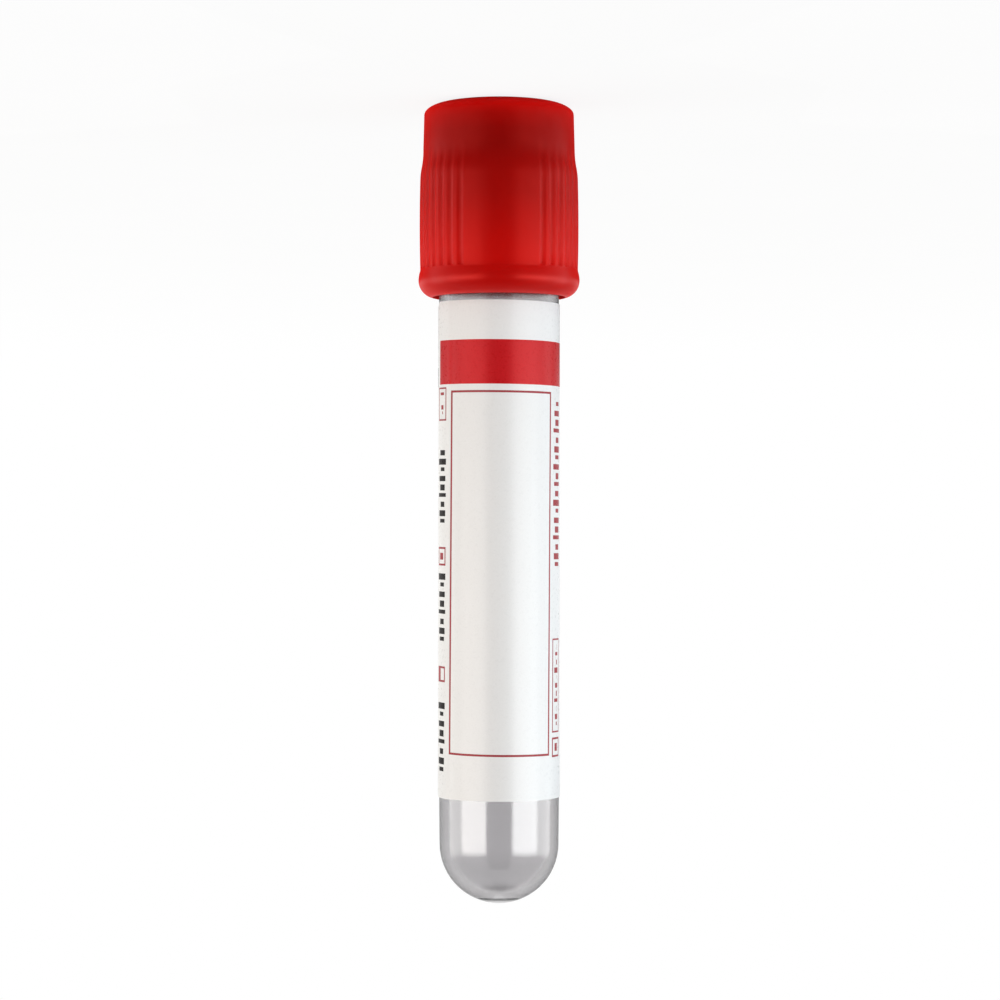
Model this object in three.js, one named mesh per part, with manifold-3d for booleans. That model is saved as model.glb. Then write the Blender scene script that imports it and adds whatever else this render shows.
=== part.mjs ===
// Blood collection tube of the 13 x 75 mm class: a clear round-ended plastic tube with a wrapped paper
// label, closed by a rubber stopper that is held in a flared, fluted push-on cap.
// Millimetres, +Z up. The pieces are modelled with the cap uppermost and then turned over together,
// because the flat top of the cap is the only end that the object can stand on.

import * as THREE from 'three';
import { mergeVertices } from 'three/addons/utils/BufferGeometryUtils.js';
import Module from 'manifold-3d';

const wasm = await Module();
wasm.setup();

const DEGREE = Math.PI / 180;

// Tube: heights are from the outside of its round end.
const TUBE_LENGTH = 75;
const TUBE_RADIUS = 6.17;
const TUBE_END_RADIUS = 6.13;
const TUBE_TAPER_HEIGHT = 10.5;
const BORE_MOUTH_RADIUS = 5.2;
const BORE_END_RADIUS = 5.03;
const RIM_ROUNDING = 0.3;
const GATE_MARK_RADIUS = 0.9;
const GATE_MARK_DEPTH = 0.06;
const GATE_BOSS_RADIUS = 1.9;
const GATE_BOSS_CREST_RADIUS = 1.2;
const GATE_BOSS_HEIGHT = 1.82;

// Label: one turn of paper round the tube, with its last edge lapped over its first.
const LABEL_BOTTOM = 11.0;
const LABEL_TOP = 61.7;
const LABEL_THICKNESS = 0.07;
const LABEL_GAP = 0.02;
const LABEL_SEAM_ANGLE = -77;
const LABEL_LAP_ANGLE = 24;
const LABEL_STEP_ANGLE = 5;

// Closure: heights are from the tube's rim, where the stopper's flange sits.
const CAP_HEIGHT = 7.3;
const CAP_TOP_RADIUS = 7.71;
const CAP_CROWN = { width: 2.7, height: 1.2 };
const CAP_SHOULDER = { radius: 7.84, height: 2.1 };
const CAP_FLARE_END = { radius: 8.13, height: -0.6 };
const CAP_SKIRT_BULGE = 8.25;
const CAP_SKIRT_END = { radius: 8.13, height: -9.6 };
const BEAD_RADIUS = 8.3;
const BEAD_HEIGHT = -10.94;
const BEAD_ROUNDING = 1.75;
const CAP_WALL = 1.2;
const CHAMBER_RADIUS = 6.75;
const SKIRT_MOUTH_RADIUS = 6.85;
const SNAP_RING_RADIUS = 6.3;
const SNAP_RING_HEIGHT = 0.46;
const SNAP_RING_SLOPE = 0.6;
const WELL_MOUTH_RADIUS = 4.25;
const WELL_FLOOR_RADIUS = 4.05;
const WELL_ROUNDING = 0.3;
const COLLAR_WALL = 0.8;

// Finger grips: two groups of upright flutes in the cap's skirt, with a smooth panel between them.
// Their floors lean out towards the cap's mouth, as the draft of a moulded skirt does.
const GRIP_GROUPS = 2;
const FLUTES_PER_GRIP = 15;
const FLUTE_PITCH = 8.43;
const FLUTE_RADIUS = 0.32;
const FLUTE_TOP = { floorRadius: 7.73, height: 3.7 };
const FLUTE_END = { floorRadius: 7.92, height: -9.55 };
const GRIP_TURN = 2;

// Stopper: heights are from the tube's rim.
const FLANGE_RADIUS = 6.67;
const FLANGE_HEIGHT = 4.6;
const FLANGE_CHAMFER = 0.12;
const PLUG_RADIUS = 5.15;
const PLUG_LENGTH = 4.7;
const PLUG_CHAMFER = 0.6;
const HOLLOW_RADIUS = 3.3;
const HOLLOW_DEPTH = 3.6;
const HOLLOW_ROUNDING = 1.2;
const TARGET_RADIUS = 2.6;
const TARGET_DEPTH = 0.9;

// Small clearances that keep seated pieces apart.
const SEAT_GAP = 0.04;
const OVERALL_HEIGHT = TUBE_LENGTH + SEAT_GAP + CAP_HEIGHT;

const TUBE_SEGMENTS = 48;
const CAP_SEGMENTS = 72;
const FLUTE_SEGMENTS = 8;
const ARC_DIVISIONS = 3;
const MERGE_DISTANCE = 1e-5;

const clearPlastic = new THREE.MeshStandardMaterial({
  name: 'clear_plastic',
  color: 0xd9d8da,
  roughness: 0.08,
  metalness: 0,
  transparent: true,
  opacity: 0.4,
});
const labelPaper = new THREE.MeshStandardMaterial({
  name: 'label_paper',
  color: 0xf2efec,
  roughness: 0.6,
  metalness: 0,
});
const stopperRubber = new THREE.MeshStandardMaterial({
  name: 'stopper_rubber',
  color: 0x3a3434,
  roughness: 0.7,
  metalness: 0,
});
const redPlastic = new THREE.MeshStandardMaterial({
  name: 'red_plastic',
  color: 0xb81616,
  roughness: 0.3,
  metalness: 0,
});

// Revolves a profile of (radius, height) about +Z. Points that should lie on the axis are put there.
function turned(profile, segments) {
  const points = profile.getPoints(ARC_DIVISIONS);
  points.forEach((point) => {
    point.x = point.x < MERGE_DISTANCE ? 0 : point.x;
  });
  const geometry = new THREE.LatheGeometry(points, segments);
  geometry.rotateX(Math.PI / 2);
  return geometry;
}

function piece(name, geometry, material) {
  const mesh = new THREE.Mesh(geometry, material);
  mesh.name = name;
  return mesh;
}

function toSolid(geometry) {
  const bare = geometry.clone();
  bare.deleteAttribute('normal');
  bare.deleteAttribute('uv');
  const merged = mergeVertices(bare, MERGE_DISTANCE);
  return new wasm.Manifold(
    new wasm.Mesh({
      numProp: 3,
      vertProperties: new Float32Array(merged.attributes.position.array),
      triVerts: new Uint32Array(merged.index.array),
    }),
  );
}

function toGeometry(solid) {
  const mesh = solid.getMesh();
  const geometry = new THREE.BufferGeometry();
  geometry.setAttribute('position', new THREE.BufferAttribute(mesh.vertProperties, 3));
  geometry.setIndex(new THREE.BufferAttribute(mesh.triVerts, 1));
  geometry.computeVertexNormals();
  return geometry;
}

// The tube's section: outside from the moulding gate to the rim, then inside back to the axis.
function tubeProfile() {
  const profile = new THREE.Path();
  const gateAngle = Math.acos(GATE_MARK_RADIUS / TUBE_END_RADIUS);
  const gateEdge = TUBE_END_RADIUS * (1 - Math.sin(gateAngle));
  const bossAngle = Math.acos(GATE_BOSS_RADIUS / BORE_END_RADIUS);

  profile.moveTo(0, gateEdge + GATE_MARK_DEPTH);
  profile.lineTo(GATE_MARK_RADIUS, gateEdge + GATE_MARK_DEPTH);
  profile.lineTo(GATE_MARK_RADIUS, gateEdge);
  profile.absarc(0, TUBE_END_RADIUS, TUBE_END_RADIUS, -gateAngle, 0, false);
  profile.lineTo(TUBE_RADIUS, TUBE_TAPER_HEIGHT);
  profile.lineTo(TUBE_RADIUS, TUBE_LENGTH - RIM_ROUNDING);
  profile.quadraticCurveTo(TUBE_RADIUS, TUBE_LENGTH, TUBE_RADIUS - RIM_ROUNDING, TUBE_LENGTH);
  profile.lineTo(BORE_MOUTH_RADIUS + RIM_ROUNDING, TUBE_LENGTH);
  profile.quadraticCurveTo(BORE_MOUTH_RADIUS, TUBE_LENGTH, BORE_MOUTH_RADIUS, TUBE_LENGTH - RIM_ROUNDING);
  profile.absarc(0, TUBE_END_RADIUS, BORE_END_RADIUS, 0, -bossAngle, true);
  profile.quadraticCurveTo(GATE_BOSS_CREST_RADIUS, GATE_BOSS_HEIGHT, 0, GATE_BOSS_HEIGHT);
  return profile;
}

function makeTube() {
  return piece('tube', turned(tubeProfile(), TUBE_SEGMENTS), clearPlastic);
}

// Radius of the label's inner face: a lap over the first edge, then a step down onto the tube.
function labelInnerRadius(angle) {
  const onTube = TUBE_RADIUS + LABEL_GAP;
  const onLabel = onTube + LABEL_THICKNESS + LABEL_GAP;
  const pastLap = (angle - LABEL_SEAM_ANGLE - LABEL_LAP_ANGLE) / LABEL_STEP_ANGLE;
  return THREE.MathUtils.lerp(onLabel, onTube, THREE.MathUtils.clamp(pastLap, 0, 1));
}

// Places a point of the label by its angle, measured from the front (-Y) towards +X.
function aroundTube(radius, angle) {
  return new THREE.Vector2(radius * Math.sin(angle * DEGREE), -radius * Math.cos(angle * DEGREE));
}

function makeLabel() {
  const sweep = 360 + LABEL_LAP_ANGLE - 1;
  const steps = Math.round((sweep * TUBE_SEGMENTS) / 360);
  const angles = Array.from({ length: steps + 1 }, (_, i) => LABEL_SEAM_ANGLE + (sweep * i) / steps);
  angles.push(LABEL_SEAM_ANGLE + LABEL_LAP_ANGLE, LABEL_SEAM_ANGLE + LABEL_LAP_ANGLE + LABEL_STEP_ANGLE);
  angles.sort((a, b) => a - b);
  const inner = angles.map((angle) => aroundTube(labelInnerRadius(angle), angle));
  const outer = angles.map((angle) => aroundTube(labelInnerRadius(angle) + LABEL_THICKNESS, angle));
  const strip = new THREE.Shape([...outer, ...inner.reverse()]);
  const geometry = new THREE.ExtrudeGeometry(strip, {
    depth: LABEL_TOP - LABEL_BOTTOM,
    bevelEnabled: false,
  });
  geometry.translate(0, 0, LABEL_BOTTOM);
  return piece('label', geometry, labelPaper);
}

// The stopper's section: a plug with a hollow underside, a flange over the tube's rim and a
// dished target for the needle in the top.
function stopperProfile() {
  const profile = new THREE.Path();
  const dishRadius = (TARGET_RADIUS ** 2 + TARGET_DEPTH ** 2) / (2 * TARGET_DEPTH);
  const dishCentre = FLANGE_HEIGHT - TARGET_DEPTH + dishRadius;
  const dishAngle = Math.asin(TARGET_RADIUS / dishRadius);
  const hollowTop = HOLLOW_DEPTH - PLUG_LENGTH;

  profile.moveTo(0, hollowTop);
  profile.lineTo(HOLLOW_RADIUS - HOLLOW_ROUNDING, hollowTop);
  profile.quadraticCurveTo(HOLLOW_RADIUS, hollowTop, HOLLOW_RADIUS, hollowTop - HOLLOW_ROUNDING);
  profile.lineTo(HOLLOW_RADIUS, -PLUG_LENGTH);
  profile.lineTo(PLUG_RADIUS - PLUG_CHAMFER / 2, -PLUG_LENGTH);
  profile.lineTo(PLUG_RADIUS, PLUG_CHAMFER - PLUG_LENGTH);
  profile.lineTo(PLUG_RADIUS, 0);
  profile.lineTo(FLANGE_RADIUS - FLANGE_CHAMFER, 0);
  profile.lineTo(FLANGE_RADIUS, FLANGE_CHAMFER);
  profile.lineTo(FLANGE_RADIUS, FLANGE_HEIGHT - FLANGE_CHAMFER);
  profile.lineTo(FLANGE_RADIUS - FLANGE_CHAMFER, FLANGE_HEIGHT);
  profile.absarc(0, dishCentre, dishRadius, dishAngle - Math.PI / 2, -Math.PI / 2, true);
  return profile;
}

function makeStopper() {
  return piece('stopper', turned(stopperProfile(), TUBE_SEGMENTS), stopperRubber);
}

// The cap's outside, from the mouth up over the bead, the skirt and the flare to the needle well.
function traceCapOutside(profile) {
  const mouthAngle = Math.acos((SKIRT_MOUTH_RADIUS - BEAD_RADIUS + BEAD_ROUNDING) / BEAD_ROUNDING);
  profile.absarc(BEAD_RADIUS - BEAD_ROUNDING, BEAD_HEIGHT, BEAD_ROUNDING, -mouthAngle, 0, false);
  profile.quadraticCurveTo(
    BEAD_RADIUS,
    (BEAD_HEIGHT + CAP_SKIRT_END.height) / 2,
    CAP_SKIRT_END.radius,
    CAP_SKIRT_END.height,
  );
  profile.quadraticCurveTo(
    CAP_SKIRT_BULGE,
    (CAP_SKIRT_END.height + CAP_FLARE_END.height) / 2,
    CAP_FLARE_END.radius,
    CAP_FLARE_END.height,
  );
  profile.quadraticCurveTo(
    CAP_FLARE_END.radius,
    (CAP_FLARE_END.height + CAP_SHOULDER.height) / 2,
    CAP_SHOULDER.radius,
    CAP_SHOULDER.height,
  );
  profile.absellipse(
    CAP_TOP_RADIUS - CAP_CROWN.width,
    CAP_HEIGHT - CAP_CROWN.height,
    CAP_CROWN.width,
    CAP_CROWN.height,
    0,
    Math.PI / 2,
    false,
  );
  profile.lineTo(WELL_MOUTH_RADIUS + WELL_ROUNDING, CAP_HEIGHT);
  profile.quadraticCurveTo(WELL_MOUTH_RADIUS, CAP_HEIGHT, WELL_MOUTH_RADIUS, CAP_HEIGHT - WELL_ROUNDING);
}

// The cap's inside: the collar on the stopper, the chamber for its flange, the ring that the
// flange snaps over, and the skirt's bore down to the mouth.
function traceCapInside(profile) {
  const pocketTop = CAP_HEIGHT - CAP_WALL;
  const ringTop = -SEAT_GAP;
  const ringBottom = ringTop - SNAP_RING_HEIGHT;
  profile.lineTo(WELL_FLOOR_RADIUS, FLANGE_HEIGHT + SEAT_GAP);
  profile.lineTo(WELL_FLOOR_RADIUS + COLLAR_WALL, FLANGE_HEIGHT + SEAT_GAP);
  profile.lineTo(WELL_MOUTH_RADIUS + COLLAR_WALL, pocketTop);
  profile.lineTo(CHAMBER_RADIUS, pocketTop);
  profile.lineTo(CHAMBER_RADIUS, ringTop);
  profile.lineTo(SNAP_RING_RADIUS, ringTop);
  profile.lineTo(SNAP_RING_RADIUS, ringBottom);
  profile.lineTo(CHAMBER_RADIUS, ringBottom - SNAP_RING_SLOPE);
  profile.closePath();
}

function fluteCutter(angle) {
  const length = FLUTE_TOP.height - FLUTE_END.height;
  const lean = Math.atan2(FLUTE_END.floorRadius - FLUTE_TOP.floorRadius, length);
  const middleFloor = (FLUTE_TOP.floorRadius + FLUTE_END.floorRadius) / 2;
  const cutter = new THREE.CylinderGeometry(FLUTE_RADIUS, FLUTE_RADIUS, length, FLUTE_SEGMENTS);
  cutter.rotateX(Math.PI / 2);
  cutter.rotateY(-lean);
  cutter.translate(middleFloor + FLUTE_RADIUS, 0, FLUTE_END.height + length / 2);
  cutter.rotateZ(angle);
  return toSolid(cutter);
}

function makeCap() {
  const profile = new THREE.Path();
  traceCapOutside(profile);
  traceCapInside(profile);
  let cap = toSolid(turned(profile, CAP_SEGMENTS));
  for (let group = 0; group < GRIP_GROUPS; group += 1) {
    const grip = group * (360 / GRIP_GROUPS) + GRIP_TURN;
    for (let i = 0; i < FLUTES_PER_GRIP; i += 1) {
      const offset = (i - (FLUTES_PER_GRIP - 1) / 2) * FLUTE_PITCH;
      cap = cap.subtract(fluteCutter((grip + offset) * DEGREE));
    }
  }
  return piece('cap', toGeometry(cap), redPlastic);
}

const closure = new THREE.Group();
closure.add(makeStopper(), makeCap());
closure.position.z = TUBE_LENGTH + SEAT_GAP;

const upright = new THREE.Group();
upright.add(makeTube(), makeLabel(), closure);
upright.rotation.y = Math.PI;
upright.position.z = OVERALL_HEIGHT;

const standing = new THREE.Group();
standing.add(upright);

export default standing;
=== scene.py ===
"""Looks of a blood collection tube that stands on its cap.

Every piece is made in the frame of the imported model, in metres, with +Z up. Angles round the axis
are in degrees from the front (-Y), growing towards -X, which is the right-hand side of someone who
faces the label with the cap held uppermost.
"""

import math

import bpy
from mathutils import Matrix, Vector


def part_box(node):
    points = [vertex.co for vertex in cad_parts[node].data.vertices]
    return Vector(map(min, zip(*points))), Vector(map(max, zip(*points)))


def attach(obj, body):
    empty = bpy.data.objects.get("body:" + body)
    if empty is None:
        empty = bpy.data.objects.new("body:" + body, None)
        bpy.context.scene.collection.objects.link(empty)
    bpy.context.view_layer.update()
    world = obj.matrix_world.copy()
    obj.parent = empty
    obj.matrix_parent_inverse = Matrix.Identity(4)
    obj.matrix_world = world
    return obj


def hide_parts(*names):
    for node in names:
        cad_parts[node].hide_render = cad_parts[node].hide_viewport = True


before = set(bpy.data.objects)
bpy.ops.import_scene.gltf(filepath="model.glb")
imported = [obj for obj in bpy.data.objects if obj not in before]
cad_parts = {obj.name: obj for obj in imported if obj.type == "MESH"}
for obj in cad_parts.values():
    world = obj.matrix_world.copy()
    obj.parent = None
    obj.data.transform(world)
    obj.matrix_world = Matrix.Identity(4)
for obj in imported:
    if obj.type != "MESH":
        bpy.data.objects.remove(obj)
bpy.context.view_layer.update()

MM = 0.001
TURN = 360.0

CAP_LOW, CAP_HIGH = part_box("cap")
STOPPER_LOW, STOPPER_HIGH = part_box("stopper")
TUBE_LOW, TUBE_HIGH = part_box("tube")
LABEL_LOW, LABEL_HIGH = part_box("label")

# The z of the stopper's seat at the tube's rim, from which cap and stopper are measured. The tube
# keeps a small gap to it.
SEAT_GAP = 0.04 * MM
RIM = TUBE_LOW.z - SEAT_GAP

# Tube: distances from the outside of its round end.
TUBE_RADIUS = TUBE_HIGH.x
TUBE_LENGTH = 75 * MM
TUBE_END_RADIUS = 6.13 * MM
TUBE_TAPER_HEIGHT = 10.5 * MM
BORE_MOUTH_RADIUS = 5.2 * MM
BORE_END_RADIUS = 5.03 * MM
RIM_ROUNDING = 0.3 * MM
GATE_MARK_RADIUS = 0.9 * MM
GATE_MARK_DEPTH = 0.06 * MM
GATE_BOSS_RADIUS = 1.9 * MM
GATE_BOSS_CREST_RADIUS = 1.35 * MM
GATE_BOSS_HEIGHT = 1.82 * MM
GATE_BOSS_DOME = 0.06 * MM
TUBE_SEGMENTS = 192

# Cap: heights from the rim, positive towards the cap's top face. Its corners and the control points
# of its curves are (radius, height).
CAP_HEIGHT = RIM - CAP_LOW.z
CAP_TOP_RADIUS = 7.71 * MM
CROWN_WIDTH = 2.7 * MM
CROWN_HEIGHT = 1.2 * MM
# Rings on the straight neck between shoulder and crown, as shares of the way.
NECK_RINGS = (0.1, 0.2, 0.3, 0.4, 0.5, 0.6, 0.8)
CAP_SHOULDER = (7.8 * MM, 2.6 * MM)
CAP_FLARE_UPPER_CONTROL = (7.82 * MM, 1.5 * MM)
CAP_FLARE_MIDDLE = (7.97 * MM, 0.75 * MM)
CAP_FLARE_LOWER_CONTROL = (8.12 * MM, 0.0 * MM)
CAP_FLARE_END = (8.13 * MM, -0.6 * MM)
CAP_SKIRT_BULGE = 8.25 * MM
CAP_SKIRT_END = (8.13 * MM, -9.95 * MM)
BEAD_RADIUS = CAP_HIGH.x
BEAD_HEIGHT = -10.94 * MM
BEAD_ROUNDING = 1.75 * MM
CAP_WALL = 1.2 * MM
CHAMBER_RADIUS = 6.75 * MM
SKIRT_MOUTH_RADIUS = 6.85 * MM
SNAP_RING_RADIUS = 6.3 * MM
SNAP_RING_HEIGHT = 0.46 * MM
SNAP_RING_SLOPE = 0.6 * MM
WELL_MOUTH_RADIUS = 4.25 * MM
WELL_FLOOR_RADIUS = 4.05 * MM
WELL_ROUNDING = 0.3 * MM
COLLAR_WALL = 0.8 * MM

# Flutes of the finger grips: heights from the rim, angles in degrees. Their floors lean out towards
# the cap's mouth, and the flutes fade out towards their tops.
GRIP_ANGLES = (92.0, 272.0)
FLUTES_PER_GRIP = 15
FLUTE_PITCH = 8.43
FLUTE_HALF_WIDTH = 0.46 * MM
FLUTE_DEPTH = 0.13 * MM
FLUTE_TOP = 2.6 * MM
FLUTE_END = -9.9 * MM
FLUTE_FLOOR_AT_TOP = 7.80 * MM
FLUTE_FLOOR_AT_END = 7.92 * MM
FLUTE_END_SLOPE = 0.2 * MM
FLUTE_FADE = 4.5 * MM
FLUTE_END_RINGS = 4
FLUTE_HALF_COLUMNS = 8
PANEL_COLUMN_ANGLE = 3.0

# Painted light and shade on the cap, as its colour from its top face to its mouth: painted light at the
# crown and over the open skirt, painted shade where the rubber flange backs the wall, over the bead and
# at the mouth. Share of the way, colour.
CAP_PAINTED_LIGHT_AND_SHADE = (
    (0.0, (0.72, 0.0022, 0.0012)),
    (0.05, (0.55, 0.0018, 0.0010)),
    (0.10, (0.38, 0.0014, 0.0008)),
    (0.17, (0.265, 0.0010, 0.0006)),
    (0.25, (0.25, 0.0010, 0.0006)),
    (0.34, (0.31, 0.0011, 0.0007)),
    (0.50, (0.35, 0.0012, 0.0008)),
    (0.62, (0.44, 0.0015, 0.0010)),
    (0.77, (0.53, 0.0018, 0.0012)),
    (0.84, (0.55, 0.0018, 0.0012)),
    (0.90, (0.46, 0.0016, 0.0011)),
    (0.95, (0.42, 0.0014, 0.0010)),
    (1.0, (0.32, 0.0012, 0.0008)),
)

# Stopper: heights from the rim, positive towards the cap's top face.
FLANGE_RADIUS = STOPPER_HIGH.x
FLANGE_HEIGHT = RIM - STOPPER_LOW.z
FLANGE_CHAMFER = 0.12 * MM
PLUG_RADIUS = 5.15 * MM
PLUG_LENGTH = STOPPER_HIGH.z - RIM
PLUG_CHAMFER = 0.6 * MM
HOLLOW_RADIUS = 3.3 * MM
HOLLOW_DEPTH = 3.6 * MM
HOLLOW_ROUNDING = 1.2 * MM
TARGET_RADIUS = 2.6 * MM
TARGET_DEPTH = 0.9 * MM
STOPPER_SEGMENTS = 128

# Label: one turn of paper, its first edge lapped over its last. It is wound a little askew, about a
# line a quarter of the way across the paper, and its edge by the tube's round end is level.
LABEL_THICKNESS = 0.07 * MM
LABEL_GAP = 0.02 * MM
LABEL_SEAM = -77.0
LABEL_LAP = 24.0
LABEL_STEP = 5.0
LABEL_LAP_END_GAP = 1.0
LABEL_TURN = TURN + LABEL_LAP - LABEL_LAP_END_GAP
LABEL_SLANT = math.tan(math.radians(0.6))
LABEL_SLANT_PIVOT = 0.25
LABEL_CORNER = 0.6 * MM
LABEL_CORNER_ZONE = 2.0 * MM
LABEL_LEVEL_ZONE = 4.5 * MM
LABEL_LENGTH = LABEL_HIGH.z - LABEL_LOW.z

# Print, in millimetres on the flat paper: boxes are (left, right, top, bottom), measured across from
# the paper's first edge and down from its edge by the cap. Rows are (left, right).
BAND = (0.66, 36.2, 4.0, 8.5)
PANEL = (2.95, 14.8, 9.15, 46.2)
PANEL_LINE = 0.22
EDGE_MARK = (37.6, 39.7, 6.3, 8.3)
LEFT_ROW = (0.35, 2.2)
RIGHT_ROW = (15.35, 17.2)
FINE_LINE = 0.16
BOX_LINE = 0.2
# Outlined boxes as wide as a row: row, top, bottom, line.
ROW_BOXES = (
    (LEFT_ROW, 8.8, 12.2, FINE_LINE),
    (LEFT_ROW, 25.1, 27.0, BOX_LINE),
    (LEFT_ROW, 37.3, 38.9, BOX_LINE),
    (RIGHT_ROW, 34.3, 43.9, FINE_LINE),
    (RIGHT_ROW, 44.4, 46.4, BOX_LINE),
)
ROW_BOX_MARKS = ((0.85, 1.7, 25.7, 26.4), (0.35, 1.15, 37.3, 38.9), (15.95, 16.6, 45.0, 45.8))
# Rows of dashes: row, margin inside it, start, end, number of dashes.
ROSE_DASHES = (
    (LEFT_ROW, 0.5, 9.3, 11.9, 4),
    (RIGHT_ROW, 0.0, 10.1, 27.4, 19),
    (RIGHT_ROW, 0.45, 34.9, 43.6, 11),
)
BLACK_DASHES = (
    (LEFT_ROW, 0.0, 15.2, 23.1, 9),
    (LEFT_ROW, 0.0, 27.8, 35.2, 8),
    (LEFT_ROW, 0.0, 41.0, 48.5, 8),
)
DASH_INSETS = (0.0, 0.45, 0.2, 0.6)
DASH_SHARES = (0.62, 0.45, 0.7)

# The label's mesh, in millimetres: extra columns by its first edge, and the most a cell measures.
EDGE_COLUMNS = (0.1, 0.3)
COLUMN_WIDTH = 0.33
ROW_HEIGHT = 2.0
PLACE_DIGITS = 4

ARC_STEP = math.radians(6)
CURVE_STEPS = 8
SHARP_EDGE = math.radians(35)
ON_AXIS = 1e-7


class Section:
    """The section of a turned piece: (radius, z) points, traced in order."""

    def __init__(self, to_z):
        self.to_z = to_z
        self.points = []

    def line_to(self, radius, height):
        self.points.append((radius, self.to_z(height)))

    def oval(self, centre, width, height, start, end):
        """A stretch of an ellipse about (radius, height), between two angles in radians."""
        steps = max(2, math.ceil(abs(end - start) / ARC_STEP))
        for i in range(steps + 1):
            angle = start + (end - start) * i / steps
            self.line_to(centre[0] + width * math.cos(angle), centre[1] + height * math.sin(angle))

    def arc(self, centre, radius, start, end):
        self.oval(centre, radius, radius, start, end)

    def curve_to(self, control, end):
        """A quadratic curve from the last point, with one control point."""
        start = (self.points[-1][0], self.to_z(self.points[-1][1]))
        for i in range(1, CURVE_STEPS + 1):
            t = i / CURVE_STEPS
            weights = ((1 - t) ** 2, 2 * t * (1 - t), t * t)
            radius, height = (
                sum(w * p[k] for w, p in zip(weights, (start, control, end))) for k in (0, 1)
            )
            self.line_to(radius, height)


def from_rim(height):
    """Height measured from the rim towards the cap's top face, as z. It is its own inverse."""
    return RIM - height


def from_round_end(distance):
    """Distance from the outside of the tube's round end, as z. It is its own inverse."""
    return RIM + SEAT_GAP + TUBE_LENGTH - distance


def place(radius, angle, z):
    """The point at this radius and angle round the axis."""
    a = math.radians(angle)
    return Vector((-radius * math.sin(a), -radius * math.cos(a), z))


def finish_piece(name, vertices, faces, materials, face_materials=None):
    """Makes a smooth-shaded mesh object from vertices and faces."""
    mesh = bpy.data.meshes.new(name)
    mesh.from_pydata(vertices, [], faces)
    mesh.validate()
    for material in materials:
        mesh.materials.append(material)
    if face_materials:
        mesh.polygons.foreach_set("material_index", face_materials)
    mesh.shade_smooth()
    mesh.set_sharp_from_angle(angle=SHARP_EDGE)
    piece = bpy.data.objects.new(name, mesh)
    bpy.context.scene.collection.objects.link(piece)
    return piece


def revolve(name, section, angles, material, shape=None):
    """Turns a section about the axis. It starts and ends on the axis, or else closes on itself.

    shape(radius, z, angle) may change the radius of a point."""
    vertices, rings = [], []
    for radius, z in section:
        if radius < ON_AXIS:
            rings.append([len(vertices)] * len(angles))
            vertices.append((0.0, 0.0, z))
            continue
        rings.append(range(len(vertices), len(vertices) + len(angles)))
        for angle in angles:
            r = shape(radius, z, angle) if shape else radius
            vertices.append(place(r, angle, z))
    faces = []
    count = len(angles)
    bands = len(rings) if section[0][0] >= ON_AXIS else len(rings) - 1
    for i in range(bands):
        ring, following = rings[i], rings[(i + 1) % len(rings)]
        for j in range(count):
            k = (j + 1) % count
            corners = (ring[j], ring[k], following[k], following[j])
            faces.append(tuple(dict.fromkeys(corners)))
    return finish_piece(name, vertices, faces, [material])


def even_angles(count):
    return [TURN * i / count for i in range(count)]


# ---------------------------------------------------------------- materials


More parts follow.
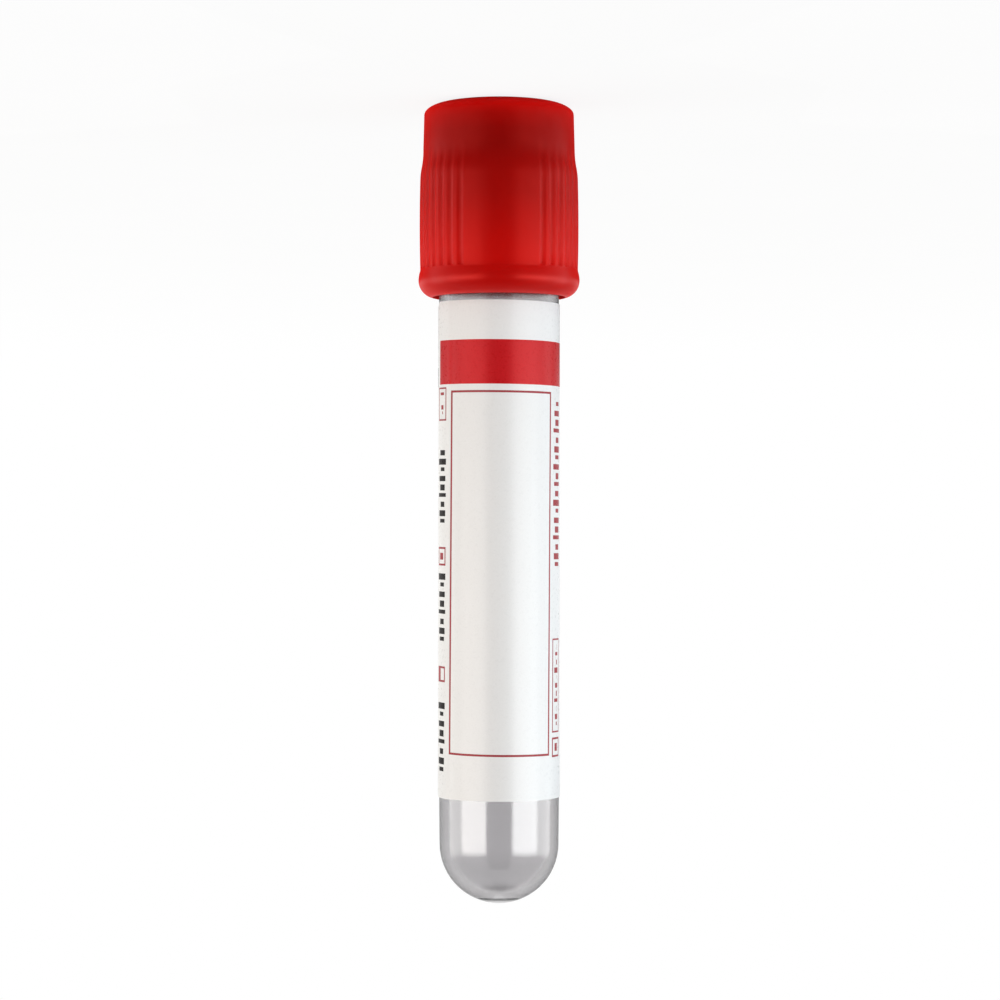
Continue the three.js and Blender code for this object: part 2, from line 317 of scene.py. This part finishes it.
class Shader:
    """A node material built around one Principled shader."""

    def __init__(self, name, **values):
        self.material = bpy.data.materials.new(name)
        self.material.use_nodes = True
        self.tree = self.material.node_tree
        self.nodes, self.links = self.tree.nodes, self.tree.links
        self.principled = self.nodes["Principled BSDF"]
        for socket, value in values.items():
            self.principled.inputs[socket.replace("_", " ")].default_value = value
        self.coordinates = self.nodes.new("ShaderNodeTexCoord").outputs["Object"]

    def link(self, output, socket):
        self.links.new(output, self.principled.inputs[socket])

    def noise(self, scale, detail=3.0, roughness=0.5, stretch=(1, 1, 1)):
        """Noise in the piece's own coordinates; scale is in cycles per metre."""
        mapping = self.nodes.new("ShaderNodeMapping")
        mapping.inputs["Scale"].default_value = stretch
        self.links.new(self.coordinates, mapping.inputs["Vector"])
        texture = self.nodes.new("ShaderNodeTexNoise")
        texture.inputs["Scale"].default_value = scale
        texture.inputs["Detail"].default_value = detail
        texture.inputs["Roughness"].default_value = roughness
        self.links.new(mapping.outputs["Vector"], texture.inputs["Vector"])
        return texture.outputs["Fac"]

    def spread(self, value, low, high):
        """Maps the middle of a noise's range onto low to high."""
        node = self.nodes.new("ShaderNodeMapRange")
        node.inputs["From Min"].default_value = 0.3
        node.inputs["From Max"].default_value = 0.7
        node.inputs["To Min"].default_value = low
        node.inputs["To Max"].default_value = high
        self.links.new(value, node.inputs["Value"])
        return node.outputs["Result"]

    def tint(self, value, dark, light):
        """Runs from one colour to another over the middle of a noise's range."""
        node = self.nodes.new("ShaderNodeMix")
        node.data_type = "RGBA"
        node.inputs["A"].default_value = (*dark, 1)
        node.inputs["B"].default_value = (*light, 1)
        self.links.new(self.spread(value, 0, 1), node.inputs["Factor"])
        return node.outputs["Result"]

    def by_height(self, low, high, stops):
        """A colour that runs along z from low to high; stops are (share of the way, colour)."""
        split = self.nodes.new("ShaderNodeSeparateXYZ")
        self.links.new(self.coordinates, split.inputs["Vector"])
        way = self.nodes.new("ShaderNodeMapRange")
        way.inputs["From Min"].default_value = low
        way.inputs["From Max"].default_value = high
        self.links.new(split.outputs["Z"], way.inputs["Value"])
        ramp = self.nodes.new("ShaderNodeValToRGB")
        elements = ramp.color_ramp.elements
        while len(elements) < len(stops):
            elements.new(0.5)
        for element, (share, colour) in zip(elements, stops):
            element.position = share
            element.color = (*colour, 1)
        self.links.new(way.outputs["Result"], ramp.inputs["Fac"])
        return ramp.outputs["Color"]

    def dapple(self, colour, value, amount):
        """Darkens a colour a little by a noise."""
        node = self.nodes.new("ShaderNodeMix")
        node.data_type = "RGBA"
        node.blend_type = "MULTIPLY"
        node.inputs["B"].default_value = (0, 0, 0, 1)
        self.links.new(colour, node.inputs["A"])
        self.links.new(self.spread(value, 0, amount), node.inputs["Factor"])
        return node.outputs["Result"]

    def bump(self, *layers):
        """Stacks bumps: each layer is (height output, distance in metres, strength)."""
        normal = None
        for height, distance, strength in layers:
            node = self.nodes.new("ShaderNodeBump")
            node.inputs["Distance"].default_value = distance
            node.inputs["Strength"].default_value = strength
            self.links.new(height, node.inputs["Height"])
            if normal:
                self.links.new(normal, node.inputs["Normal"])
            normal = node.outputs["Normal"]
        self.link(normal, "Normal")


def red_plastic():
    """Translucent red, with painted shade where the rubber flange backs the wall and painted light over
    the skirt.
    """
    shader = Shader(
        "red_plastic",
        IOR=1.49,
        Specular_IOR_Level=0.42,
        Specular_Tint=(1.0, 0.10, 0.08, 1),
        Subsurface_Weight=0.8,
        Subsurface_Radius=(1.0, 0.12, 0.08),
        Subsurface_Scale=2.0 * MM,
        Sheen_Weight=1.0,
        Sheen_Roughness=0.6,
        Sheen_Tint=(1.0, 0.02, 0.015, 1),
    )
    # The base colour carries the painted light and shade along the cap's height.
    ramp = shader.by_height(CAP_LOW.z, CAP_HIGH.z, CAP_PAINTED_LIGHT_AND_SHADE)
    shader.link(shader.dapple(ramp, shader.noise(260), 0.06), "Base Color")
    shader.link(shader.spread(shader.noise(900), 0.29, 0.35), "Roughness")
    shader.bump((shader.noise(5000), 0.002 * MM, 0.3))
    return shader.material


def clear_plastic():
    """Slightly smoky clear plastic: a tint at its surfaces and some absorption in its thickness."""
    shader = Shader("clear_plastic", IOR=1.6, Transmission_Weight=1.0)
    shader.link(shader.tint(shader.noise(200), (0.67, 0.66, 0.67), (0.70, 0.69, 0.70)), "Base Color")
    shader.link(shader.spread(shader.noise(700), 0.13, 0.17), "Roughness")
    shader.bump((shader.noise(250, stretch=(1, 1, 0.15)), 0.02 * MM, 0.5))
    absorption = shader.nodes.new("ShaderNodeVolumeAbsorption")
    absorption.inputs["Color"].default_value = (0.42, 0.40, 0.41, 1)
    absorption.inputs["Density"].default_value = 100
    shader.links.new(absorption.outputs["Volume"], shader.nodes["Material Output"].inputs["Volume"])
    return shader.material


def stopper_rubber():
    """Dark matt rubber with the fine grain of its mould."""
    shader = Shader("stopper_rubber", IOR=1.5)
    colour = shader.tint(shader.noise(1500), (0.03, 0.024, 0.024), (0.05, 0.04, 0.04))
    shader.link(colour, "Base Color")
    shader.link(shader.spread(shader.noise(2500), 0.5, 0.7), "Roughness")
    shader.bump((shader.noise(4000), 0.02 * MM, 0.5))
    return shader.material


def coated_paper(name, dark, light, gloss=0.15, gloss_tint=(1, 1, 1, 1)):
    """Paper with a soft gloss, or an ink that lies on it with the same grain."""
    shader = Shader(name, IOR=1.5, Specular_IOR_Level=gloss, Specular_Tint=gloss_tint)
    shader.link(shader.tint(shader.noise(6000, detail=5), dark, light), "Base Color")
    shader.link(shader.spread(shader.noise(3000), 0.26, 0.32), "Roughness")
    shader.bump((shader.noise(9000, detail=5, stretch=(1, 1, 0.4)), 0.001 * MM, 0.4))
    return shader.material


# The order of the label's materials.
PAPER, RED_INK, ROSE_INK, BLACK_INK = range(4)


def label_materials():
    red_gloss = (1.0, 0.3, 0.3, 1)
    return [
        coated_paper("label_paper", (0.80, 0.78, 0.76), (0.82, 0.80, 0.78)),
        coated_paper("label_red_ink", (0.49, 0.006, 0.009), (0.55, 0.009, 0.013), 0.28, red_gloss),
        coated_paper("label_rose_ink", (0.33, 0.045, 0.052), (0.38, 0.060, 0.068), 0.05),
        coated_paper("label_black_ink", (0.012, 0.010, 0.010), (0.030, 0.026, 0.026), 0.05),
    ]


# ---------------------------------------------------------------- tube


def tube_section():
    section = Section(from_round_end)
    gate_angle = math.acos(GATE_MARK_RADIUS / TUBE_END_RADIUS)
    gate_edge = TUBE_END_RADIUS * (1 - math.sin(gate_angle))
    boss_angle = math.acos(GATE_BOSS_RADIUS / BORE_END_RADIUS)
    round_end = (0, TUBE_END_RADIUS)
    rim = TUBE_LENGTH - RIM_ROUNDING

    section.line_to(0, gate_edge + GATE_MARK_DEPTH)
    section.line_to(GATE_MARK_RADIUS, gate_edge + GATE_MARK_DEPTH)
    section.arc(round_end, TUBE_END_RADIUS, -gate_angle, 0)
    section.line_to(TUBE_RADIUS, TUBE_TAPER_HEIGHT)
    section.line_to(TUBE_RADIUS, rim)
    section.curve_to((TUBE_RADIUS, TUBE_LENGTH), (TUBE_RADIUS - RIM_ROUNDING, TUBE_LENGTH))
    section.line_to(BORE_MOUTH_RADIUS + RIM_ROUNDING, TUBE_LENGTH)
    section.curve_to((BORE_MOUTH_RADIUS, TUBE_LENGTH), (BORE_MOUTH_RADIUS, rim))
    section.arc(round_end, BORE_END_RADIUS, 0, -boss_angle)
    section.line_to(GATE_BOSS_CREST_RADIUS, GATE_BOSS_HEIGHT - GATE_BOSS_DOME)
    section.line_to(0, GATE_BOSS_HEIGHT)
    return section.points


def make_tube():
    tube = revolve("tube_wall", tube_section(), even_angles(TUBE_SEGMENTS), clear_plastic())
    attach(tube, "tube_body")
    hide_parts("tube")


# ---------------------------------------------------------------- stopper


def stopper_section():
    section = Section(from_rim)
    dish_radius = (TARGET_RADIUS**2 + TARGET_DEPTH**2) / (2 * TARGET_DEPTH)
    dish_centre = (0, FLANGE_HEIGHT - TARGET_DEPTH + dish_radius)
    dish_angle = math.asin(TARGET_RADIUS / dish_radius)
    hollow_top = HOLLOW_DEPTH - PLUG_LENGTH
    down = -math.pi / 2

    section.line_to(0, hollow_top)
    section.line_to(HOLLOW_RADIUS - HOLLOW_ROUNDING, hollow_top)
    section.curve_to((HOLLOW_RADIUS, hollow_top), (HOLLOW_RADIUS, hollow_top - HOLLOW_ROUNDING))
    section.line_to(HOLLOW_RADIUS, -PLUG_LENGTH)
    section.line_to(PLUG_RADIUS - PLUG_CHAMFER / 2, -PLUG_LENGTH)
    section.line_to(PLUG_RADIUS, PLUG_CHAMFER - PLUG_LENGTH)
    section.line_to(PLUG_RADIUS, 0)
    section.line_to(FLANGE_RADIUS - FLANGE_CHAMFER, 0)
    section.line_to(FLANGE_RADIUS, FLANGE_CHAMFER)
    section.line_to(FLANGE_RADIUS, FLANGE_HEIGHT - FLANGE_CHAMFER)
    section.line_to(FLANGE_RADIUS - FLANGE_CHAMFER, FLANGE_HEIGHT)
    section.arc(dish_centre, dish_radius, dish_angle + down, down)
    return section.points


def make_stopper():
    angles = even_angles(STOPPER_SEGMENTS)
    stopper = revolve("stopper_body", stopper_section(), angles, stopper_rubber())
    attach(stopper, "closure")
    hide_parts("stopper")


# ---------------------------------------------------------------- label


def frame_lines(box, line):
    """The four sides of an outlined rectangle."""
    left, right, top, bottom = box
    return [
        (left, right, top, top + line),
        (left, right, bottom - line, bottom),
        (left, left + line, top, bottom),
        (right - line, right, top, bottom),
    ]


def dashes(row, margin, start, end, count):
    """A row of short bars, of uneven width and length: print with nothing to read."""
    left, right = row
    pitch = (end - start) / count
    bars = []
    for i in range(count):
        inset = DASH_INSETS[(3 * i + count) % len(DASH_INSETS)]
        length = pitch * DASH_SHARES[(2 * i + count) % len(DASH_SHARES)]
        top = start + i * pitch
        bars.append((left + margin + inset, right - margin - inset / 2, top, top + length))
    return bars


def print_layout():
    """The printed boxes with their inks."""
    rose = frame_lines(PANEL, PANEL_LINE) + list(ROW_BOX_MARKS)
    for row, top, bottom, line in ROW_BOXES:
        rose += frame_lines((*row, top, bottom), line)
    for spot in ROSE_DASHES:
        rose += dashes(*spot)
    black = [EDGE_MARK]
    for spot in BLACK_DASHES:
        black += dashes(*spot)
    inks = ((RED_INK, [BAND]), (ROSE_INK, rose), (BLACK_INK, black))
    return [(box, ink) for ink, boxes in inks for box in boxes]


def breaks(values, limit, step):
    """Sorted places from 0 to limit that include every value given, at most a step apart."""
    marks = sorted({round(v, PLACE_DIGITS) for v in values} | {0.0, round(limit, PLACE_DIGITS)})
    places = []
    for a, b in zip(marks, marks[1:]):
        parts = math.ceil((b - a) / step)
        places += [a + (b - a) * i / parts for i in range(parts)]
    return places + [marks[-1]]


def ink_at(layout, across, down):
    """The material at a place on the flat paper. Where boxes overlap, the later one is on top."""
    material = PAPER
    for (left, right, top, bottom), ink in layout:
        if left < across < right and top < down < bottom:
            material = ink
    return material


def label_radius(angle):
    """Radius of the inner face: a lap over the other edge, then a step down onto the tube."""
    on_tube = TUBE_RADIUS + LABEL_GAP
    on_label = on_tube + LABEL_THICKNESS + LABEL_GAP
    past_lap = (angle - LABEL_SEAM - LABEL_LAP) / LABEL_STEP
    return on_label + (on_tube - on_label) * min(1.0, max(0.0, past_lap))


def with_round_corners(across, down, width):
    """How far down a point lies once the paper's corners are rounded off."""
    edge = min(max(0.0, min(across, width - across)), LABEL_CORNER)
    cut = LABEL_CORNER - math.sqrt(LABEL_CORNER**2 - (LABEL_CORNER - edge) ** 2)
    down += cut * max(0.0, 1 - down / LABEL_CORNER_ZONE)
    return down - cut * max(0.0, 1 - (LABEL_LENGTH - down) / LABEL_CORNER_ZONE)


def label_point(across, down, width, lift):
    """A point of the wound paper, from its place on the flat paper in metres."""
    down = with_round_corners(across, down, width)
    turn = LABEL_TURN * across / width
    angle = LABEL_SEAM + turn - math.degrees(down * LABEL_SLANT / TUBE_RADIUS)
    levelling = min(1.0, (LABEL_LENGTH - down) / LABEL_LEVEL_ZONE)
    slope = (across - width * LABEL_SLANT_PIVOT) * LABEL_SLANT * levelling
    return place(label_radius(LABEL_SEAM + turn) + lift, angle, LABEL_LOW.z + down + slope)


def label_cells(layout, width):
    """Where the columns and rows of the label's mesh lie on the flat paper, in millimetres."""
    lap_ends = [LABEL_LAP, LABEL_LAP + LABEL_STEP]
    sides = [math.radians(turn) * (TUBE_RADIUS + LABEL_THICKNESS) / MM for turn in lap_ends]
    sides += EDGE_COLUMNS
    ends = []
    for (left, right, top, bottom), _ in layout:
        sides += (left, right)
        ends += (top, bottom)
    return breaks(sides, width / MM, COLUMN_WIDTH), breaks(ends, LABEL_LENGTH / MM, ROW_HEIGHT)


def label_vertices(columns, rows, width):
    """The outer face, row by row, and then the inner face, which has only its first and last rows."""
    outer = [(c, r, LABEL_THICKNESS) for r in rows for c in columns]
    inner = [(c, r, 0) for r in (0, LABEL_LENGTH / MM) for c in columns]
    return [label_point(c * MM, r * MM, width, lift) for c, r, lift in outer + inner]


def label_faces(columns, rows, layout):
    """Faces and their inks: the outer face, the inner face with the cut ends, and the cut sides."""
    count, last = len(columns), len(rows) - 1
    inner_top = count * len(rows)
    inner_bottom = inner_top + count
    faces, inks = [], []
    for i in range(last):
        for j in range(count - 1):
            a = i * count + j
            faces.append((a, a + count, a + count + 1, a + 1))
            inks.append(ink_at(layout, (columns[j] + columns[j + 1]) / 2, (rows[i] + rows[i + 1]) / 2))
    for j in range(count - 1):
        faces.append((inner_top + j, inner_top + j + 1, inner_bottom + j + 1, inner_bottom + j))
        faces.append((j, j + 1, inner_top + j + 1, inner_top + j))
        base = last * count + j
        faces.append((base, inner_bottom + j, inner_bottom + j + 1, base + 1))
    first_edge = [i * count for i in range(last + 1)]
    last_edge = [i * count + count - 1 for i in range(last + 1)]
    faces.append((*reversed(first_edge), inner_top, inner_bottom))
    faces.append((*last_edge, inner_bottom + count - 1, inner_top + count - 1))
    return faces, inks + [PAPER] * (len(faces) - len(inks))


def make_label():
    layout = print_layout()
    width = math.radians(LABEL_TURN) * (TUBE_RADIUS + LABEL_THICKNESS)
    columns, rows = label_cells(layout, width)
    vertices = label_vertices(columns, rows, width)
    faces, inks = label_faces(columns, rows, layout)
    label = finish_piece("label_wrap", vertices, faces, label_materials(), inks)
    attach(label, "tube_body")
    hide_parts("label")


# ---------------------------------------------------------------- cap


def cap_section():
    section = Section(from_rim)
    mouth_angle = math.acos((SKIRT_MOUTH_RADIUS - BEAD_RADIUS + BEAD_ROUNDING) / BEAD_ROUNDING)
    crown = (CAP_TOP_RADIUS - CROWN_WIDTH, CAP_HEIGHT - CROWN_HEIGHT)
    pocket_top = CAP_HEIGHT - CAP_WALL
    ring_bottom = -SEAT_GAP - SNAP_RING_HEIGHT
    collar_end = FLANGE_HEIGHT + SEAT_GAP

    section.arc((BEAD_RADIUS - BEAD_ROUNDING, BEAD_HEIGHT), BEAD_ROUNDING, -mouth_angle, 0)
    section.curve_to((BEAD_RADIUS, (BEAD_HEIGHT + CAP_SKIRT_END[1]) / 2), CAP_SKIRT_END)
    for i in range(FLUTE_END_RINGS + 1):
        section.line_to(CAP_SKIRT_END[0], FLUTE_END + i / FLUTE_END_RINGS * FLUTE_END_SLOPE)
    section.curve_to((CAP_SKIRT_BULGE, (CAP_SKIRT_END[1] + CAP_FLARE_END[1]) / 2), CAP_FLARE_END)
    section.curve_to(CAP_FLARE_LOWER_CONTROL, CAP_FLARE_MIDDLE)
    section.curve_to(CAP_FLARE_UPPER_CONTROL, CAP_SHOULDER)
    for share in NECK_RINGS:
        radius = CAP_SHOULDER[0] + share * (CAP_TOP_RADIUS - CAP_SHOULDER[0])
        section.line_to(radius, CAP_SHOULDER[1] + share * (crown[1] - CAP_SHOULDER[1]))
    section.oval(crown, CROWN_WIDTH, CROWN_HEIGHT, 0, math.pi / 2)
    section.line_to(WELL_MOUTH_RADIUS + WELL_ROUNDING, CAP_HEIGHT)
    section.curve_to((WELL_MOUTH_RADIUS, CAP_HEIGHT), (WELL_MOUTH_RADIUS, CAP_HEIGHT - WELL_ROUNDING))
    section.line_to(WELL_FLOOR_RADIUS, collar_end)
    section.line_to(WELL_FLOOR_RADIUS + COLLAR_WALL, collar_end)
    section.line_to(WELL_MOUTH_RADIUS + COLLAR_WALL, pocket_top)
    section.line_to(CHAMBER_RADIUS, pocket_top)
    section.line_to(CHAMBER_RADIUS, -SEAT_GAP)
    section.line_to(SNAP_RING_RADIUS, -SEAT_GAP)
    section.line_to(SNAP_RING_RADIUS, ring_bottom)
    section.line_to(CHAMBER_RADIUS, ring_bottom - SNAP_RING_SLOPE)
    return section.points


def flute_angles():
    middle = (FLUTES_PER_GRIP - 1) / 2
    return [grip + (i - middle) * FLUTE_PITCH for grip in GRIP_ANGLES for i in range(FLUTES_PER_GRIP)]


def cap_angles():
    """Close columns across each flute and wide ones over the smooth panels."""
    half = FLUTE_PITCH / 2
    columns = range(-FLUTE_HALF_COLUMNS, FLUTE_HALF_COLUMNS)
    angles = [flute + i / FLUTE_HALF_COLUMNS * half for flute in flute_angles() for i in columns]
    panel = TURN / len(GRIP_ANGLES) - FLUTES_PER_GRIP * FLUTE_PITCH
    steps = round(panel / PANEL_COLUMN_ANGLE)
    for grip in GRIP_ANGLES:
        start = grip + FLUTES_PER_GRIP * half
        angles += [start + panel * i / steps for i in range(steps)]
    return sorted(angle % TURN for angle in angles)


def fluted(radius, z, angle):
    """Presses the flutes into the cap's outside, with rounded ribs between them."""
    height = from_rim(z)
    share = (FLUTE_TOP - height) / (FLUTE_TOP - FLUTE_END)
    depth = radius - FLUTE_FLOOR_AT_TOP - share * (FLUTE_FLOOR_AT_END - FLUTE_FLOOR_AT_TOP)
    depth = min(depth, FLUTE_DEPTH * min(1.0, max(0.0, (FLUTE_TOP - height) / FLUTE_FADE)))
    away = min(abs((angle - flute + TURN / 2) % TURN - TURN / 2) for flute in flute_angles())
    across = radius * math.radians(away) / FLUTE_HALF_WIDTH
    if depth <= 0 or across >= 1 or not FLUTE_END < height < FLUTE_TOP:
        return radius
    run_in = min(1.0, (height - FLUTE_END) / FLUTE_END_SLOPE)
    return radius - depth * run_in * run_in * (3 - 2 * run_in) * (1 - across * across) ** 2


def make_cap():
    cap = revolve("cap_moulding", cap_section(), cap_angles(), red_plastic(), fluted)
    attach(cap, "closure")
    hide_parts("cap")


# ---------------------------------------------------------------- studio

# Angles are round the object from the front in degrees, distances and heights in metres.

CAMERA_DISTANCE = 0.3
CAMERA_ASIDE = -0.1 * MM
CAMERA_FROM_RIM = 35.3 * MM
PICTURE_MIDDLE_FROM_RIM = 33.53 * MM
FIELD_WIDTH = 0.1031
SENSOR_WIDTH = 36.0

LIGHT_DISTANCE = 0.6
LIGHT_HEIGHT = 0.44
# A sheen light is a stack of lights, each taller, further away and turned further outwards than the
# one before, so that its reflection ends softly.
SHEEN_HEIGHTS = (0.22, 0.25, 0.28, 0.31)
SHEEN_DISTANCE = 0.62
SHEEN_SPACING = 0.01
SHEEN_TURN = 1.6
WARM = (1.0, 0.975, 0.945)
COOL = (0.985, 1.0, 1.0)
COLD = (0.92, 1.0, 1.0)
SKY = (0.58, 0.82, 1.0)
# Each light: the angles that it spans, its radiance and its colour.
SOFT_LIGHTS = {
    "left_rear": (-150, -112, 2.2, COLD),
    "left_side": (-112, -85, 1.6, COLD),
    "right_front": (45, 95, 2.3, SKY),
}
SHEEN_LIGHTS = {
    "left_front_sheen": (-74, -21, 8.6, WARM),
    "left_side_sheen": (-108, -74, 2.9, WARM),
    "right_front_sheen": (23, 76, 9.3, COOL),
    "right_side_sheen": (76, 112, 3.4, COOL),
}
WORLD_LIGHT = (0.82, 0.78, 0.75, 1)
WORLD_WHITE = (1, 1, 1, 1)
# A black flag behind the camera.
FLAG_SIDES = (-24.0, 24.0)
FLAG_DISTANCE = 0.5
FLAG_HEIGHT = 0.6
# Grey cards behind the object: how far back they stand, how far out and up they reach, half the gap
# between them, and the height of their lower edges.
SURROUND_DISTANCE = 0.5
SURROUND_SIZE = 1.5
SURROUND_WINDOW = 0.07
SURROUND_BOTTOM = 0.11
# Black cloths on the floor all round the cap: the angles that each spans, and how far it reaches.
LONG_CLOTH = 0.6
SHORT_CLOTH = 0.035
FLOOR_CLOTHS = (
    (-24, 24, LONG_CLOTH),
    (24, 69, SHORT_CLOTH),
    (69, 114, SHORT_CLOTH),
    (114, 158, LONG_CLOTH),
    (158, 202, LONG_CLOTH),
    (202, 246, LONG_CLOTH),
    (246, 291, SHORT_CLOTH),
    (291, 336, SHORT_CLOTH),
)
FLOOR_CLOTH_START = 5.9 * MM
FLOOR_CLOTH_HEIGHT = 0.02 * MM
# The floor: how much of it shows as white next to the object, and from where on all of it does.
FLOOR_SIZE = 6.0
FLOOR_GLOW = 0.88
FLOOR_SHADOW_REACH = 0.5


def make_camera():
    """Level, near the object's mid height, and rolled over, so that the cap is at the picture's top."""
    data = bpy.data.cameras.new("camera")
    data.sensor_width = SENSOR_WIDTH
    data.lens = SENSOR_WIDTH * CAMERA_DISTANCE / FIELD_WIDTH
    camera = bpy.data.objects.new("camera", data)
    data.shift_y = (CAMERA_FROM_RIM - PICTURE_MIDDLE_FROM_RIM) / FIELD_WIDTH
    turn = Matrix.Rotation(math.radians(90), 4, "X") @ Matrix.Rotation(math.radians(180), 4, "Z")
    where = Vector((CAMERA_ASIDE, -CAMERA_DISTANCE, RIM + CAMERA_FROM_RIM))
    camera.matrix_world = Matrix.Translation(where) @ turn
    bpy.context.scene.collection.objects.link(camera)
    bpy.context.scene.camera = camera


def seen_directly(nodes, links):
    """1 for camera, glossy and transmission rays, and 0 for the rest."""
    path = nodes.new("ShaderNodeLightPath")
    total = path.outputs["Is Camera Ray"]
    for kind in ("Is Glossy Ray", "Is Transmission Ray"):
        either = nodes.new("ShaderNodeMath")
        either.operation = "MAXIMUM"
        links.new(total, either.inputs[0])
        links.new(path.outputs[kind], either.inputs[1])
        total = either.outputs["Value"]
    return total


def make_world():
    """A white background to look at, and a soft, slightly warm light on the object."""
    world = bpy.data.worlds.new("studio")
    world.use_nodes = True
    nodes, links = world.node_tree.nodes, world.node_tree.links
    seen = nodes["Background"]
    seen.inputs["Color"].default_value = WORLD_WHITE
    lighting = nodes.new("ShaderNodeBackground")
    lighting.inputs["Color"].default_value = WORLD_LIGHT
    mix = nodes.new("ShaderNodeMixShader")
    links.new(seen_directly(nodes, links), mix.inputs["Fac"])
    links.new(lighting.outputs["Background"], mix.inputs[1])
    links.new(seen.outputs["Background"], mix.inputs[2])
    links.new(mix.outputs["Shader"], nodes["World Output"].inputs["Surface"])
    bpy.context.scene.world = world


def floor_material():
    """Pale card that shows as white, with some of the light and shadow on it near the object."""
    shader = Shader("floor_card", Roughness=0.9)
    shader.link(shader.tint(shader.noise(40), (0.78, 0.78, 0.78), (0.82, 0.82, 0.82)), "Base Color")
    nodes, links = shader.nodes, shader.links
    glow = nodes.new("ShaderNodeEmission")
    glow.inputs["Strength"].default_value = 1.0
    distance = nodes.new("ShaderNodeVectorMath")
    distance.operation = "LENGTH"
    links.new(shader.coordinates, distance.inputs[0])
    reach = nodes.new("ShaderNodeMapRange")
    reach.interpolation_type = "SMOOTHSTEP"
    reach.inputs["From Max"].default_value = FLOOR_SHADOW_REACH
    reach.inputs["To Min"].default_value = FLOOR_GLOW
    links.new(distance.outputs["Value"], reach.inputs["Value"])
    share = nodes.new("ShaderNodeMath")
    share.operation = "MULTIPLY"
    links.new(reach.outputs["Result"], share.inputs[0])
    links.new(seen_directly(nodes, links), share.inputs[1])
    mix = nodes.new("ShaderNodeMixShader")
    links.new(share.outputs["Value"], mix.inputs["Fac"])
    links.new(shader.principled.outputs["BSDF"], mix.inputs[1])
    links.new(glow.outputs["Emission"], mix.inputs[2])
    links.new(mix.outputs["Shader"], nodes["Material Output"].inputs["Surface"])
    return shader.material


def make_card(name, corners, material):
    """A flat studio card, which isn't part of the object."""
    mesh = bpy.data.meshes.new(name)
    mesh.from_pydata(corners, [], [(0, 1, 2, 3)])
    mesh.materials.append(material)
    card = bpy.data.objects.new(name, mesh)
    bpy.context.scene.collection.objects.link(card)
    return card


def make_floor():
    size = FLOOR_SIZE / 2
    corners = [(-size, -size, 0), (size, -size, 0), (size, size, 0), (-size, size, 0)]
    make_card("floor", corners, floor_material())


def cloth(name, dark, light):
    """Matt cloth whose grey varies a little, from dark to light."""
    shader = Shader(name, Roughness=1.0, Specular_IOR_Level=0.0)
    colour = shader.tint(shader.noise(300), (dark, dark, dark), (light, light, light))
    shader.link(colour, "Base Color")
    return shader.material


def black_cloth():
    return cloth("black_cloth", 0.002, 0.006)


def grey_cloth():
    return cloth("grey_cloth", 0.34, 0.38)


def hide_from_all_but_gloss(card):
    for kind in ("camera", "diffuse", "transmission", "shadow"):
        setattr(card, "visible_" + kind, False)


def make_flag():
    """A black card behind the camera: the dark stripe between the sheen lights' reflections."""
    left, right = (FLAG_DISTANCE * math.tan(math.radians(side)) for side in FLAG_SIDES)
    corners = [(-left, 0), (-right, 0), (-right, FLAG_HEIGHT), (-left, FLAG_HEIGHT)]
    flag = make_card("flag", [(x, -FLAG_DISTANCE, z) for x, z in corners], black_cloth())
    hide_from_all_but_gloss(flag)


def make_surround():
    """Grey cards at both sides behind the object, whose reflection keeps the glossy edges grey."""
    far, near, low, grey = SURROUND_SIZE, SURROUND_WINDOW, SURROUND_BOTTOM, grey_cloth()
    sides = {"surround_left": (near, far), "surround_right": (-far, -near)}
    for name, (left, right) in sides.items():
        corners = [(left, low), (right, low), (right, far), (left, far)]
        card = make_card(name, [(x, SURROUND_DISTANCE, z) for x, z in corners], grey)
        hide_from_all_but_gloss(card)


def make_floor_cloths():
    """Black cloths on the floor that only gloss sees, so that the cap doesn't mirror the floor."""
    for i, (start, end, reach) in enumerate(FLOOR_CLOTHS):
        spots = ((FLOOR_CLOTH_START, start), (reach, start), (reach, end), (FLOOR_CLOTH_START, end))
        corners = [place(radius, angle, FLOOR_CLOTH_HEIGHT) for radius, angle in spots]
        hide_from_all_but_gloss(make_card("floor_cloth_" + str(i), corners, black_cloth()))


def make_softbox(name, start, end, radiance, colour, distance, height):
    """A soft light that stands on the floor and faces the object, between two angles round it."""
    width = 2 * distance * math.tan(math.radians((end - start) / 2))
    data = bpy.data.lights.new(name, "AREA")
    data.shape = "RECTANGLE"
    data.size = width
    data.size_y = height
    data.energy = radiance * math.pi * width * height
    data.color = colour
    light = bpy.data.objects.new(name, data)
    where = place(distance, (start + end) / 2, height / 2)
    facing = (Vector((0, 0, where.z)) - where).to_track_quat("-Z", "Y")
    light.matrix_world = Matrix.Translation(where) @ facing.to_matrix().to_4x4()
    light.visible_camera = False
    bpy.context.scene.collection.objects.link(light)
    return light


def make_soft_lights():
    """Lights that gloss doesn't see."""
    for name, (start, end, radiance, colour) in SOFT_LIGHTS.items():
        light = make_softbox(name, start, end, radiance, colour, LIGHT_DISTANCE, LIGHT_HEIGHT)
        light.visible_glossy = False
        light.visible_transmission = False


def make_sheen_lights():
    """Lights that only gloss sees."""
    for name, (start, end, radiance, colour) in SHEEN_LIGHTS.items():
        share = radiance / len(SHEEN_HEIGHTS)
        for i, height in enumerate(SHEEN_HEIGHTS):
            turn = math.copysign(i * SHEEN_TURN, start)
            sides = (start + turn, end + turn)
            distance = SHEEN_DISTANCE + i * SHEEN_SPACING
            light = make_softbox(name + "_" + str(i), *sides, share, colour, distance, height)
            light.visible_diffuse = False
            light.visible_transmission = False


make_camera()
make_world()
make_floor()
make_flag()
make_surround()
make_floor_cloths()
make_soft_lights()
make_sheen_lights()
make_tube()
make_label()
make_stopper()
make_cap()
bpy.context.scene.view_settings.view_transform = "Standard"
